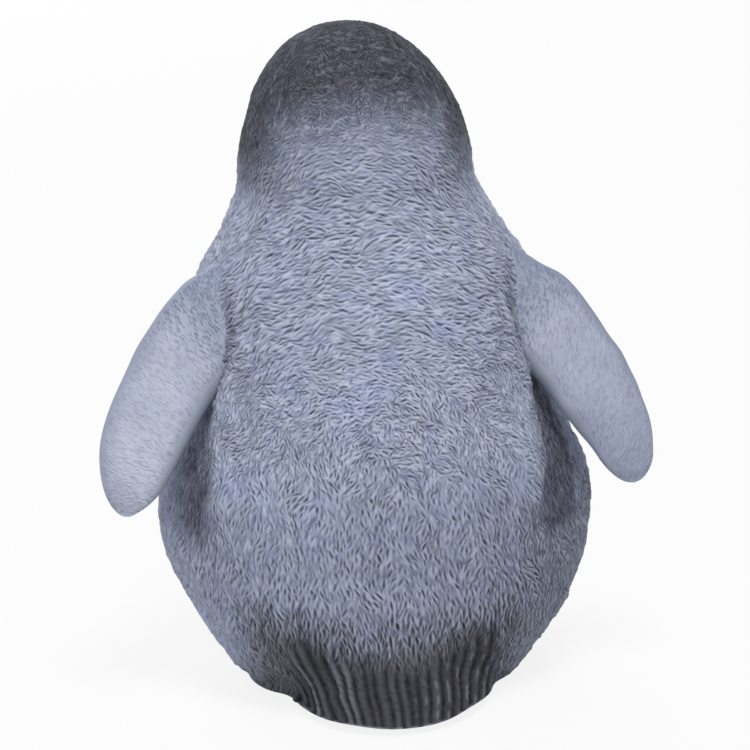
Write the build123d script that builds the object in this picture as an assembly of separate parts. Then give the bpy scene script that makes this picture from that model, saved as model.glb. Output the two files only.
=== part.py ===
from build123d import *

import os
from math import cos, radians, sin, sqrt, tan

# A penguin chick figurine in hollow-cast resin, standing, with its flippers held away from its sides.
# Millimetres. +Z is up, the face looks along -Y and the figure's left side is +X.
# The origin is on the table, under the middle of the figure's box.

# Overall
DEPTH = 114.0
PAD_THICKNESS = 1.2
WALL = 5.0
FLOOR_THICKNESS = 7.0
GLUE_GAP = 0.15
SOCKET_FLOOR = 1.2

# The casting's outline, bottom to top: each station's rise above the one below, its half width, and its reach
# to the front and to the back
BASE_HALF_WIDTH = 37.0
BASE_FRONT = 36.0
BASE_BACK = 37.0
HIP_RISE = 14.8
HIP_HALF_WIDTH = 47.8
HIP_FRONT = 45.0
HIP_BACK = 46.0
BELLY_RISE = 29.0
BELLY_HALF_WIDTH = 58.2
BELLY_FRONT = 51.0
BELLY_BACK = 48.0
FLANK_RISE = 34.5
FLANK_HALF_WIDTH = 48.0
FLANK_FRONT = 49.0
FLANK_BACK = 43.0
SHOULDER_RISE = 32.0
SHOULDER_HALF_WIDTH = 43.5
SHOULDER_FRONT = 43.0
SHOULDER_BACK = 32.0
NECK_RISE = 12.0
NECK_HALF_WIDTH = 36.0
NECK_FRONT = 39.5
NECK_BACK = 26.0
HEAD_RISE = 12.0
HEAD_HALF_WIDTH = 31.2
HEAD_FRONT = 42.0
HEAD_BACK = 22.0
DOME_HEIGHT = 40.0
TORSO_STEPS = 16
DOME_STEPS = 5
DOME_CAP = 0.6

# The tail, a stub fan that flares out of the rump to the base
TAIL_HALF_WIDTH = 27.0
TAIL_CENTRE = 20.0
TAIL_BEND_RISE = 8.0
TAIL_BEND_HALF_WIDTH = 27.5
TAIL_BEND_REACH = 52.0
TAIL_TOP_RISE = 27.0
TAIL_TOP_HALF_WIDTH = 27.0
TAIL_TOP_SINK = 4.0

# The plumage's main forms: a hollow behind each flipper, and flutes that fan out down the tail
HOLLOW_TURN = 66.0
HOLLOW_DROP = 34.5
HOLLOW_DEPTH = 2.2
HOLLOW_RADIUS = 45.0
FLUTE_COUNT = 6
FLUTE_TURN = 10.0
FLUTE_RISE = 16.0
FLUTE_RADIUS = 1.5
FLUTE_DEPTH = 0.8

# The flippers: a paddle along an arc that leaves the shoulder on a slope and turns down towards its tip
FLIPPER_ROOT_INSET = 7.1
FLIPPER_ROOT_DROP = 10.0
FLIPPER_SETBACK = 9.0
FLIPPER_LENGTH = 57.5
FLIPPER_SLOPE = 40.0
FLIPPER_TURN = 40.0
FLIPPER_LEAN = 16.0
FLIPPER_ROOT_TWIST = 26.0
FLIPPER_TIP_TWIST = 14.0
FLIPPER_SHANK = 17.0
FLIPPER_SHANK_WIDTH = 20.0
FLIPPER_SHANK_THICKNESS = 15.0
FLIPPER_ROOT_WIDTH = 27.6
FLIPPER_ROOT_THICKNESS = 20.0
FLIPPER_BLADE_WIDTH = 23.2
FLIPPER_BLADE_THICKNESS = 11.0
FLIPPER_TIP_LENGTH = 36.0
FLIPPER_STEPS = 4
FLIPPER_TIP_STEPS = 4
FLIPPER_TIP_CAP = 0.6

# How each flipper is fixed: a tenon in a socket of the casting, and a steel pin in line with the tenon
TENON_HEIGHT = 13.0
TENON_WIDTH = 8.0
TENON_CORNER = 2.5
TENON_DEPTH = 6.0
TENON_ROOT = 4.0
TENON_DROP = 7.0
BOSS_WALL = 3.5
PIN_DIAMETER = 2.0
PIN_FIT = 0.05
PIN_IN_FLIPPER = 8.0
PIN_IN_BOSS = 2.5

# The feet: three clawed toes on an instep, with a peg in the casting's floor
FOOT_SPACING = 21.0
FOOT_SPLAY = 10.0
TOE_SPREAD = 25.0
TOE_LEVEL = 3.8
TOE_RADIUS = 5.6
KNUCKLE_RADIUS = 5.9
TOE_TIP_RADIUS = 4.2
TOE_TIP_LENGTH = 2.6
SIDE_TOE_SHORTER = 3.0
CLAW_LENGTH = 5.0
CLAW_RADIUS = 2.3
CLAW_TIP_RADIUS = 0.4
INSTEP_RADIUS = 12.0
INSTEP_LEVEL = 4.0
FOOT_PEG_DIAMETER = 4.6
FOOT_PEG_LENGTH = 8.0
FOOT_PEG_ROOT = 3.0

# The beak, with a round peg in a socket of the face
BEAK_RISE = 1.5
BEAK_LENGTH = 14.5
BEAK_HALF_WIDTH = 6.4
BEAK_HALF_HEIGHT = 6.0
BEAK_DROP = 3.4
BEAK_SINK = 3.0
BEAK_STEPS = 4
BEAK_TAPER = 0.7
BEAK_PEG_DIAMETER = 6.0

# The eyes, cabochons with a round stem in a socket
EYE_RADIUS = 3.9
EYE_RISE = 2.2
EYE_STEM_DEPTH = 2.6
EYE_TURN = 40.0
EYE_ABOVE_HEAD = 9.0

# The closure under the casting: a plate in a rebate, a plug in its vent hole and four pads
PLATE_INSET = 12.0
PLATE_THICKNESS = 4.0
PLATE_LEDGE = 2.5
PLUG_DIAMETER = 12.0
PLUG_TAPER = 1.0
PLUG_FLANGE_DIAMETER = 17.0
PLUG_FLANGE_THICKNESS = 1.6
PLUG_LIP = 0.6
PLUG_LIP_HEIGHT = 0.8
PLUG_NOSE = 3.0
PAD_DIAMETER = 9.0
PAD_INSET = 6.0
PAD_ANGLE = 45.0

base_level = PAD_THICKNESS
rises = [HIP_RISE, BELLY_RISE, FLANK_RISE, SHOULDER_RISE, NECK_RISE, HEAD_RISE]
station_levels = [base_level + sum(rises[:count]) for count in range(len(rises) + 1)]
shoulder_level = station_levels[4]
head_level = station_levels[6]
half_widths = [
    BASE_HALF_WIDTH,
    HIP_HALF_WIDTH,
    BELLY_HALF_WIDTH,
    FLANK_HALF_WIDTH,
    SHOULDER_HALF_WIDTH,
    NECK_HALF_WIDTH,
    HEAD_HALF_WIDTH,
]
fronts = [BASE_FRONT, HIP_FRONT, BELLY_FRONT, FLANK_FRONT, SHOULDER_FRONT, NECK_FRONT, HEAD_FRONT]
backs = [BASE_BACK, HIP_BACK, BELLY_BACK, FLANK_BACK, SHOULDER_BACK, NECK_BACK, HEAD_BACK]
head_middle = (HEAD_BACK - HEAD_FRONT) / 2
head_half_depth = (HEAD_BACK + HEAD_FRONT) / 2


def slopes(values):
    """The outline's slope at each station, upright at the head, where the dome starts."""
    rates = [(values[i + 1] - values[i]) / rises[i] for i in range(len(rises))]
    between = []
    for i in range(1, len(rises)):
        below = rises[i - 1]
        above = rises[i]
        between.append((above * rates[i - 1] + below * rates[i]) / (below + above))
    return [rates[0], *between, 0.0]


def outline_at(values, level):
    """A smooth curve through the stations' values, read at a level between the base and the head."""
    i = max(k for k in range(len(rises)) if k == 0 or station_levels[k] <= level)
    t = (level - station_levels[i]) / rises[i]
    slope = slopes(values)
    return (
        (2 * t**3 - 3 * t**2 + 1) * values[i]
        + (t**3 - 2 * t**2 + t) * rises[i] * slope[i]
        + (3 * t**2 - 2 * t**3) * values[i + 1]
        + (t**3 - t**2) * rises[i] * slope[i + 1]
    )


def sizes_at(level, grow=0.0):
    """Half width and reach to front and back of the casting at a level, with its walls moved out by grow."""
    if level <= head_level:
        return [outline_at(values, level) + grow for values in (half_widths, fronts, backs)]
    share = sqrt(1 - ((level - head_level) / (DOME_HEIGHT + grow)) ** 2)
    half_depth = (head_half_depth + grow) * share
    return [(HEAD_HALF_WIDTH + grow) * share, half_depth - head_middle, half_depth + head_middle]


def side_x(y, level):
    """Where the casting's left side lies at a depth and a level."""
    half_width, front, back = sizes_at(level)
    return half_width * sqrt(1 - ((y - (back - front) / 2) / ((back + front) / 2)) ** 2)


def front_y(x, level):
    """Where the casting's front lies at a distance from the middle and a level."""
    half_width, front, back = sizes_at(level)
    return (back - front) / 2 - (back + front) / 2 * sqrt(1 - (x / half_width) ** 2)


def skin(turn, level):
    """A point of the casting's surface, at a turn from mid back towards the left and at a level."""
    half_width, front, back = sizes_at(level)
    angle = radians(turn)
    return Vector(half_width * sin(angle), (back - front) / 2 + (back + front) / 2 * cos(angle), level)


def skin_outward(turn, level):
    """The way straight out of the casting's surface at a turn and a level."""
    upwards = skin(turn, level + 1) - skin(turn, level - 1)
    towards_left = skin(turn + 1, level) - skin(turn - 1, level)
    return upwards.cross(towards_left).normalized()


def oval(level, half_width, front, back):
    """A level ellipse that reaches front towards the face and back towards the tail."""
    return Pos(0, (back - front) / 2, level) * Ellipse(half_width, (back + front) / 2)


def base_oval(level, inset):
    """The outline of the casting's underside, moved in by inset."""
    return oval(level, BASE_HALF_WIDTH - inset, BASE_FRONT - inset, BASE_BACK - inset)


def figure(grow):
    """Torso and head as one solid, with every wall moved out by grow."""
    levels = [base_level + (head_level - base_level) * step / TORSO_STEPS for step in range(TORSO_STEPS + 1)]
    for step in range(1, DOME_STEPS + 1):
        angle = radians(90 * step / (DOME_STEPS + DOME_CAP))
        levels.append(head_level + (DOME_HEIGHT + grow) * sin(angle))
    sections = [oval(level, *sizes_at(level, grow)) for level in levels]
    sections.append(Vertex(0, head_middle, head_level + DOME_HEIGHT + grow))
    return loft(sections)


def tail():
    """The stub tail, whose upper end lies inside the rump."""
    top_level = base_level + TAIL_TOP_RISE
    top_reach = sizes_at(top_level)[2] - TAIL_TOP_SINK
    sections = []
    for level, half_width, reach in (
        (base_level, TAIL_HALF_WIDTH, DEPTH / 2),
        (base_level + TAIL_BEND_RISE, TAIL_BEND_HALF_WIDTH, TAIL_BEND_REACH),
        (top_level, TAIL_TOP_HALF_WIDTH, top_reach),
    ):
        sections.append(oval(level, half_width, reach - 2 * TAIL_CENTRE, reach))
    return loft(sections)


def tail_point(angle, rise):
    """A point of the tail's surface, at an angle from mid back and a rise above the base."""
    share = rise / TAIL_BEND_RISE
    half_width = TAIL_HALF_WIDTH + (TAIL_BEND_HALF_WIDTH - TAIL_HALF_WIDTH) * share
    reach = DEPTH / 2 + (TAIL_BEND_REACH - DEPTH / 2) * share
    y = TAIL_CENTRE + (reach - TAIL_CENTRE) * cos(angle)
    return Vector(half_width * sin(angle), y, base_level + rise)


def rod(start, direction, length, radius):
    """A round rod from a point along a direction."""
    return extrude(Plane(start, z_dir=direction) * Circle(radius), length)


# The left flipper's arc starts inside the shoulder, and its tenon crosses the casting's side
flipper_root_level = shoulder_level - FLIPPER_ROOT_DROP
flipper_root_x = sizes_at(flipper_root_level)[0] - FLIPPER_ROOT_INSET
turn_radius = FLIPPER_LENGTH / radians(FLIPPER_TURN)
tenon_level = flipper_root_level - TENON_DROP
tenon_y = FLIPPER_SETBACK + TENON_DROP * tan(radians(FLIPPER_LEAN))
tenon_side = side_x(tenon_y, tenon_level)
tenon_end = tenon_side - TENON_DEPTH


def flipper_section(along, width, thickness):
    """An ellipse across the flipper's arc, at a length along it from the root."""
    start_angle = radians(FLIPPER_SLOPE)
    angle = start_angle + along / turn_radius
    out = turn_radius * (sin(angle) - sin(start_angle))
    drop = turn_radius * (cos(start_angle) - cos(angle))
    lean = tan(radians(FLIPPER_LEAN))
    centre = Vector(flipper_root_x + out, FLIPPER_SETBACK + drop * lean, flipper_root_level - drop)
    tangent = Vector(cos(angle), sin(angle) * lean, -sin(angle)).normalized()
    across = Vector(0, 1, 0).cross(tangent).normalized()
    share = along / FLIPPER_LENGTH
    twist = FLIPPER_ROOT_TWIST + (FLIPPER_TIP_TWIST - FLIPPER_ROOT_TWIST) * share
    across = across * cos(radians(twist)) + tangent.cross(across) * sin(radians(twist))
    if width == 0:
        return Vertex(*centre)
    return Plane(centre, x_dir=across, z_dir=tangent) * Ellipse(width / 2, thickness / 2)


def blade():
    """The flipper's paddle, with its inner end inside the casting."""
    shaft = FLIPPER_LENGTH - FLIPPER_TIP_LENGTH
    sections = [flipper_section(-FLIPPER_SHANK, FLIPPER_SHANK_WIDTH, FLIPPER_SHANK_THICKNESS)]
    for step in range(FLIPPER_STEPS + 1):
        share = step / FLIPPER_STEPS
        blend = share**2 * (3 - 2 * share)
        width = FLIPPER_ROOT_WIDTH + (FLIPPER_BLADE_WIDTH - FLIPPER_ROOT_WIDTH) * blend
        thickness = FLIPPER_ROOT_THICKNESS + (FLIPPER_BLADE_THICKNESS - FLIPPER_ROOT_THICKNESS) * blend
        sections.append(flipper_section(shaft * share, width, thickness))
    for step in range(1, FLIPPER_TIP_STEPS + 1):
        angle = radians(90 * step / (FLIPPER_TIP_STEPS + FLIPPER_TIP_CAP))
        along = shaft + FLIPPER_TIP_LENGTH * sin(angle)
        width = FLIPPER_BLADE_WIDTH * cos(angle)
        sections.append(flipper_section(along, width, FLIPPER_BLADE_THICKNESS * cos(angle)))
    sections.append(flipper_section(FLIPPER_LENGTH, 0, 0))
    return loft(sections)


def tenon(start, end, grow):
    """The left flipper's tenon from one X to another, with its four sides moved out by grow."""
    section = RectangleRounded(TENON_WIDTH + 2 * grow, TENON_HEIGHT + 2 * grow, TENON_CORNER + grow)
    across = Plane((start, tenon_y, tenon_level), x_dir=(0, 1, 0), z_dir=(1, 0, 0))
    return extrude(across * section, end - start)


def flipper_pin(grow):
    """The left flipper's dowel, which runs from the flipper into the casting, moved out by grow."""
    start = tenon_end - GLUE_GAP - PIN_IN_BOSS - grow
    length = GLUE_GAP + PIN_IN_BOSS + PIN_IN_FLIPPER + 2 * grow
    return rod((start, tenon_y, tenon_level), (1, 0, 0), length, PIN_DIAMETER / 2 + grow)


def flipper():
    """The left flipper, cut to the casting's side, with its tenon and the hole for its dowel."""
    paddle = blade() - figure(GLUE_GAP)
    return paddle + tenon(tenon_end, tenon_side + TENON_ROOT, 0) - flipper_pin(PIN_FIT)


def hollow():
    """The ball that leaves the hollow behind the left flipper."""
    level = flipper_root_level - HOLLOW_DROP
    centre = skin(HOLLOW_TURN, level) + skin_outward(HOLLOW_TURN, level) * (HOLLOW_RADIUS - HOLLOW_DEPTH)
    return Pos(*centre) * Sphere(HOLLOW_RADIUS)


def flutes():
    """The rods that leave the flutes of the tail's left half, each running out of the surface at its top."""
    rods = []
    for index in range(FLUTE_COUNT):
        angle = radians(FLUTE_TURN * (index + 0.5))
        rise = FLUTE_RISE * cos(angle)
        low_point = tail_point(angle, 0)
        run = tail_point(angle, rise) - low_point
        outward = Vector(sin(angle), cos(angle), 0)
        start = low_point - run + outward * (FLUTE_RADIUS - 2 * FLUTE_DEPTH)
        end = low_point + run + outward * FLUTE_RADIUS
        rods.append(rod(start, end - start, (end - start).length, FLUTE_RADIUS))
    return rods


# The left foot: its peg lies half way up the casting's floor, and its middle claw ends the figure's box
foot_peg_level = base_level + FLOOR_THICKNESS / 2
foot_y = front_y(FOOT_SPACING, foot_peg_level)
toe_reach = (DEPTH / 2 + foot_y) / cos(radians(FOOT_SPLAY))
toe_length = toe_reach - TOE_TIP_LENGTH - CLAW_LENGTH


def toe(length):
    """A toe with its knuckle and claw, along +X from the foot's middle."""
    shoulder = length + TOE_TIP_LENGTH
    claw_tip = shoulder + CLAW_LENGTH
    top = Spline((0, TOE_RADIUS), (length / 2, KNUCKLE_RADIUS), (length, TOE_TIP_RADIUS))
    end = Polyline(
        (length, TOE_TIP_RADIUS),
        (shoulder, CLAW_RADIUS),
        (claw_tip, CLAW_TIP_RADIUS),
        (claw_tip, 0),
        (0, 0),
        (0, TOE_RADIUS),
    )
    return revolve(make_face([top, end]), Axis.X)


def foot_peg(grow):
    """The left foot's peg, from inside the instep into the casting's floor, moved out by grow."""
    start = (FOOT_SPACING, foot_y - FOOT_PEG_ROOT, foot_peg_level)
    return rod(start, (0, 1, 0), FOOT_PEG_ROOT + FOOT_PEG_LENGTH + grow, FOOT_PEG_DIAMETER / 2 + grow)


def foot():
    """The left foot, flat underneath and cut to the casting's front."""
    solid = Pos(FOOT_SPACING, foot_y, base_level + INSTEP_LEVEL) * Sphere(INSTEP_RADIUS)
    for side in (-1, 0, 1):
        turn = FOOT_SPLAY + side * TOE_SPREAD - 90
        place = Pos(FOOT_SPACING, foot_y, base_level + TOE_LEVEL) * Rot(0, 0, turn)
        solid += place * toe(toe_length - abs(side) * SIDE_TOE_SHORTER)
    solid = split(solid, Plane((0, 0, base_level)), keep=Keep.TOP)
    return solid - figure(GLUE_GAP) + foot_peg(0)


# The beak's place, and its peg's depth in the wall of the face
beak_level = head_level + BEAK_RISE
beak_face = sizes_at(beak_level)[1]
beak_socket_depth = WALL - SOCKET_FLOOR


def beak_peg(grow):
    """The beak's peg, from inside the beak into the face, with its surface moved out by grow."""
    start = (0, -beak_face - BEAK_SINK, beak_level)
    length = BEAK_SINK + beak_socket_depth - GLUE_GAP + grow
    return rod(start, (0, 1, 0), length, BEAK_PEG_DIAMETER / 2 + grow)


def beak():
    """A short beak that droops to its tip, cut to the face."""
    reaches = [-BEAK_SINK] + [BEAK_LENGTH * step / BEAK_STEPS for step in range(BEAK_STEPS)]
    sections = []
    for reach in reaches:
        share = max(reach, 0) / BEAK_LENGTH
        taper = (1 - share) ** BEAK_TAPER
        centre = (0, -beak_face - reach, beak_level - BEAK_DROP * share**2)
        oval_across = Ellipse(BEAK_HALF_WIDTH * taper, BEAK_HALF_HEIGHT * taper)
        sections.append(Plane(centre, x_dir=(1, 0, 0), z_dir=(0, -1, 0)) * oval_across)
    sections.append(Vertex(0, -beak_face - BEAK_LENGTH, beak_level - BEAK_DROP))
    return loft(sections) - figure(GLUE_GAP) + beak_peg(0)


def eye(grow):
    """The left eye, a cap on a round stem that stands square to the head, with its stem moved out by grow."""
    half_width, front, back = sizes_at(head_level + EYE_ABOVE_HEAD)
    half_depth = (front + back) / 2
    place = Vector(
        half_width * sin(radians(EYE_TURN)),
        head_middle - half_depth * cos(radians(EYE_TURN)),
        head_level + EYE_ABOVE_HEAD,
    )
    outward = Vector(
        place.X / HEAD_HALF_WIDTH**2,
        (place.Y - head_middle) / head_half_depth**2,
        EYE_ABOVE_HEAD / DOME_HEIGHT**2,
    )
    radius = EYE_RADIUS + grow
    stem = Polyline((0, EYE_RISE), (0, -EYE_STEM_DEPTH - grow), (radius, -EYE_STEM_DEPTH - grow), (radius, 0))
    cap = RadiusArc((radius, 0), (0, EYE_RISE), -(radius**2 + EYE_RISE**2) / (2 * EYE_RISE))
    return Plane(place, z_dir=outward) * revolve(Plane.XZ * make_face([stem, cap]), Axis.Z)


plate_top = base_level + PLATE_THICKNESS


def base_plate():
    """The plate in the rebate, with the vent hole and the recess for the plug's flange."""
    plate = extrude(base_oval(base_level, PLATE_INSET + GLUE_GAP), PLATE_THICKNESS)
    underside = Plane((0, 0, base_level))
    recess = extrude(underside * Circle(PLUG_FLANGE_DIAMETER / 2 + GLUE_GAP), PLUG_FLANGE_THICKNESS)
    hole = extrude(underside * Circle(PLUG_DIAMETER / 2 + GLUE_GAP), PLATE_THICKNESS)
    return plate - recess - hole


def vent_plug():
    """A bung with a flange below the plate and a lip above it."""
    flange_top = base_level + PLUG_FLANGE_THICKNESS
    lip_base = plate_top + GLUE_GAP
    lip_top = lip_base + PLUG_LIP_HEIGHT
    stem = PLUG_DIAMETER / 2
    outline = Polyline(
        (0, base_level),
        (PLUG_FLANGE_DIAMETER / 2, base_level),
        (PLUG_FLANGE_DIAMETER / 2, flange_top),
        (stem, flange_top),
        (stem, lip_base),
        (stem + PLUG_LIP, lip_base),
        (stem + PLUG_LIP, lip_top),
        (stem - PLUG_TAPER, lip_top + PLUG_NOSE),
        (0, lip_top + PLUG_NOSE),
        close=True,
    )
    return revolve(Plane.XZ * make_face(outline), Axis.Z)


def pad(side, end):
    """A round pad under the casting's rim, on the left or right side and at the front or rear end."""
    angle = radians(PAD_ANGLE)
    x = (BASE_HALF_WIDTH - PAD_INSET) * sin(angle)
    y = (BASE_BACK - BASE_FRONT) / 2 + end * ((BASE_BACK + BASE_FRONT) / 2 - PAD_INSET) * cos(angle)
    return extrude(Pos(side * x, y, 0) * Circle(PAD_DIAMETER / 2), PAD_THICKNESS)


def both_sides(solid):
    """A solid of the left side together with its mirror image."""
    return [solid, mirror(solid, Plane.YZ)]


def body_shell():
    """The hollow casting of torso, head and tail, with its sockets and the rebated opening underneath."""
    outer = figure(0) + tail()
    outer -= [side for cutter in (hollow(), *flutes()) for side in both_sides(cutter)]
    floor_top = base_level + FLOOR_THICKNESS
    cavity = split(figure(-WALL), Plane((0, 0, floor_top)), keep=Keep.TOP)
    boss_end = tenon_end - GLUE_GAP - PIN_IN_BOSS - SOCKET_FLOOR
    boss = tenon(boss_end, tenon_side + TENON_ROOT, BOSS_WALL) & outer
    shell = outer - cavity + both_sides(boss)
    rebate = extrude(base_oval(base_level, PLATE_INSET), PLATE_THICKNESS + GLUE_GAP)
    opening = extrude(base_oval(base_level, PLATE_INSET + PLATE_LEDGE), FLOOR_THICKNESS)
    shell -= [rebate, opening, beak_peg(GLUE_GAP)]
    tenon_socket = tenon(tenon_end - GLUE_GAP, tenon_side + TENON_ROOT, GLUE_GAP)
    for cutter in (tenon_socket, flipper_pin(PIN_FIT), foot_peg(GLUE_GAP), eye(GLUE_GAP)):
        shell -= both_sides(cutter)
    return shell


if __name__ == "__main__":
    nodes = {
        "body_shell": body_shell(),
        "beak": beak(),
        "base_plate": base_plate(),
        "vent_plug": vent_plug(),
    }
    for name, solid in (
        ("flipper", flipper()),
        ("flipper_pin", flipper_pin(0)),
        ("foot", foot()),
        ("eye", eye(0)),
    ):
        nodes["left_" + name], nodes["right_" + name] = both_sides(solid)
    for end_name, end in (("front", -1), ("rear", 1)):
        for side_name, side in (("left", 1), ("right", -1)):
            nodes[f"pad_{end_name}_{side_name}"] = pad(side, end)
    os.makedirs("parts", exist_ok=True)
    for name, solid in nodes.items():
        export_step(solid, f"parts/{name}.step")
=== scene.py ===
import math

import bpy
import numpy as np
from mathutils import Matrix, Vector, kdtree


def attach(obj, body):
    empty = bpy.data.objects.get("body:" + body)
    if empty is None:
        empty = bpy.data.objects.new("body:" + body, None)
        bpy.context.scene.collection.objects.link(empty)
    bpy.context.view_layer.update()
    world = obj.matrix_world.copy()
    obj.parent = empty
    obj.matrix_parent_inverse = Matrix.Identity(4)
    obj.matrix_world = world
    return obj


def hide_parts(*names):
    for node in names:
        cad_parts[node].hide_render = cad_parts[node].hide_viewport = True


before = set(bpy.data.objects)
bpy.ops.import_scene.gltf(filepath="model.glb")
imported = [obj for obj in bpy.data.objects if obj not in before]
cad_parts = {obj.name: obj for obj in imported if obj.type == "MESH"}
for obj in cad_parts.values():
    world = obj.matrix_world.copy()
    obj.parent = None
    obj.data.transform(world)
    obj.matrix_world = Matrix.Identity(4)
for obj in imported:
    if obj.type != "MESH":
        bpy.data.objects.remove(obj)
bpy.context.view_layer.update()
scene = bpy.context.scene
scene.view_settings.view_transform = "Standard"

# The figure is worked out in millimetres, with the face along -Y and its left side along +X
MM = 0.001
MIRROR = np.array([-1.0, 1.0, 1.0])

# The casting's outline, as its solid has it: levels, half widths and reach to front and back
LEVELS = np.array([1.2, 16.0, 45.0, 79.5, 111.5, 123.5, 135.5])
HALF_WIDTHS = np.array([37.0, 47.8, 58.2, 48.0, 43.5, 36.0, 31.2])
FRONTS = np.array([36.0, 45.0, 51.0, 49.0, 43.0, 39.5, 42.0])
BACKS = np.array([37.0, 46.0, 48.0, 43.0, 32.0, 26.0, 22.0])
BASE_LEVEL = LEVELS[0]
HEAD_LEVEL = LEVELS[-1]
DOME_HEIGHT = 40.0
HEAD_MIDDLE = (BACKS[-1] - FRONTS[-1]) / 2
HEAD_HALF_WIDTH = HALF_WIDTHS[-1]
HEAD_HALF_DEPTH = (BACKS[-1] + FRONTS[-1]) / 2

# Mesh spacing on the back, which the photograph shows, and on the front
FINE = 0.25
COARSE = 0.6
GIRTH_RADIUS = 53.0

# How many sine waves make up one field of smooth noise
WAVES = 7


def step(low, high, value):
    """A smooth ramp from 0 at low to 1 at high, which falls where low is the larger of the two."""
    t = np.clip((value - low) / (high - low), 0, 1)
    return t * t * (3 - 2 * t)


def bell(value, middle, width):
    """A smooth bump, 1 at the middle and almost gone two widths away."""
    return np.exp(-(((value - middle) / width) ** 2))


def circle(count):
    """Evenly spaced angles of one full turn."""
    return np.arange(count) / count * 2 * math.pi


def waves(points, size, seed):
    """Smooth noise around 0 at points in mm, with bumps of about the given size."""
    source = np.random.default_rng(seed)
    total = np.zeros(points.shape[:-1])
    for _ in range(WAVES):
        way = source.normal(size=3)
        way *= 2 * math.pi * source.uniform(0.7, 1.4) / size / np.linalg.norm(way)
        total += np.sin(points @ way + source.uniform(0, 2 * math.pi))
    return total / math.sqrt(WAVES / 2)


def colour(red, green, blue):
    """A colour given as it looks on a screen, 0 to 255, as the shader wants it."""
    out = []
    for part in (red, green, blue):
        c = part / 255
        out.append(c / 12.92 if c <= 0.04045 else ((c + 0.055) / 1.055) ** 2.4)
    return (*out, 1.0)


def outline(values, level):
    """The smooth curve through the stations' values, at levels between the base and the head."""
    rises = np.diff(LEVELS)
    rates = np.diff(values) / rises
    between = (rises[1:] * rates[:-1] + rises[:-1] * rates[1:]) / (rises[1:] + rises[:-1])
    slope = np.concatenate([rates[:1], between, [0.0]])
    i = np.clip(np.searchsorted(LEVELS, level, side="right") - 1, 0, len(rises) - 1)
    t = (level - LEVELS[i]) / rises[i]
    return (
        (2 * t**3 - 3 * t**2 + 1) * values[i]
        + (t**3 - 2 * t**2 + t) * rises[i] * slope[i]
        + (3 * t**2 - 2 * t**3) * values[i + 1]
        + (t**3 - t**2) * rises[i] * slope[i + 1]
    )


def outline_at(values, level):
    """The outline's value at one level."""
    return float(outline(values, np.array([level]))[0])


def add_object(name, data):
    """A new object in the scene that shows a mesh, lamp or camera."""
    piece = bpy.data.objects.new(name, data)
    scene.collection.objects.link(piece)
    return piece


def shade_smooth(mesh):
    """Smooth shading on all faces of a mesh."""
    mesh.polygons.foreach_set("use_smooth", np.ones(len(mesh.polygons), bool))
    mesh.update()


def ring_faces(index):
    """Four-sided faces between rows of point numbers, each row a ring."""
    nxt = np.roll(index, -1, axis=1)
    return np.stack([index[:-1], index[1:], nxt[1:], nxt[:-1]], axis=-1).reshape(-1, 4).tolist()


def mesh_object(name, rows, caps):
    """A closed tube from rows of points, each row a ring, with an end point at either end."""
    count, around = rows.shape[:2]
    points = np.vstack([rows.reshape(-1, 3), np.asarray(caps, float)])
    index = np.arange(count * around).reshape(count, around)
    start_tip = np.full(around, count * around)
    start_fan = np.stack([index[0], np.roll(index[0], -1), start_tip], axis=-1)
    end_fan = np.stack([index[-1], start_tip + 1, np.roll(index[-1], -1)], axis=-1)
    faces = ring_faces(index) + start_fan.tolist() + end_fan.tolist()
    u = np.arange(around) / around
    u_next = (np.arange(around) + 1) / around
    u_middle = (u + u_next) / 2
    v = np.arange(count) / (count - 1) * 0.98 + 0.01
    grid = (count - 1, around)
    near, far = np.broadcast_to(u, grid), np.broadcast_to(u_next, grid)
    low, high = np.broadcast_to(v[:-1, None], grid), np.broadcast_to(v[1:, None], grid)
    bottom, first, last, top = (np.full(around, value) for value in (0.0, v[0], v[-1], 1.0))
    corners = (
        (near, low, near, high, far, high, far, low),
        (u, first, u_next, first, u_middle, bottom),
        (u, last, u_middle, top, u_next, last),
    )
    uv = np.concatenate([np.stack(corner, axis=-1).ravel() for corner in corners])
    mesh = bpy.data.meshes.new(name)
    mesh.from_pydata((points * MM).tolist(), [], faces)
    layer = mesh.uv_layers.new(name="OFBake")
    layer.data.foreach_set("uv", uv.astype(np.float32))
    shade_smooth(mesh)
    return add_object(name, mesh)


def paint(piece, name, channels):
    """Stores up to four masks, one value per point, as a colour attribute of the mesh."""
    mesh = piece.data
    data = np.zeros((len(mesh.vertices), 4), np.float32)
    for k, channel in enumerate(channels):
        flat = np.asarray(channel, np.float32).ravel()
        data[: len(flat), k] = flat
        data[len(flat) :, k] = flat[-1]
    layer = mesh.attributes.new(name, "FLOAT_COLOR", "POINT")
    layer.data.foreach_set("color", data.ravel())


def frame_of(rows):
    """Unit vectors across and up the rows, and outwards, at every point of a tube."""
    across = np.roll(rows, -1, axis=1) - np.roll(rows, 1, axis=1)
    up = np.gradient(rows, axis=0)
    out = np.cross(up, across)
    out /= np.maximum(np.linalg.norm(out, axis=-1, keepdims=True), 1e-9)
    across /= np.maximum(np.linalg.norm(across, axis=-1, keepdims=True), 1e-9)
    up = np.cross(across, out)
    return across, up, out


def gaps(rows):
    """Distances between neighbouring points of a tube, up and across the rows."""
    sideways = np.roll(rows, -1, axis=1) - np.roll(rows, 1, axis=1)
    return np.linalg.norm(np.gradient(rows, axis=0), axis=-1), np.linalg.norm(sideways, axis=-1) / 2


# The body's grid: columns run round from the middle of the back, rows run up to the crown
def body_angles():
    """Angles from the middle of the back, close together on the back and wider apart on the front."""
    fine = np.linspace(-1, 1, 20001) * math.pi
    pace = FINE + (COARSE - FINE) * step(1.75, 2.1, np.abs(fine))
    run = np.concatenate([[0], np.cumsum(np.diff(fine) * GIRTH_RADIUS / pace[1:])])
    count = int(run[-1])
    return np.interp(np.arange(count) / count * run[-1], run, fine)


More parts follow.
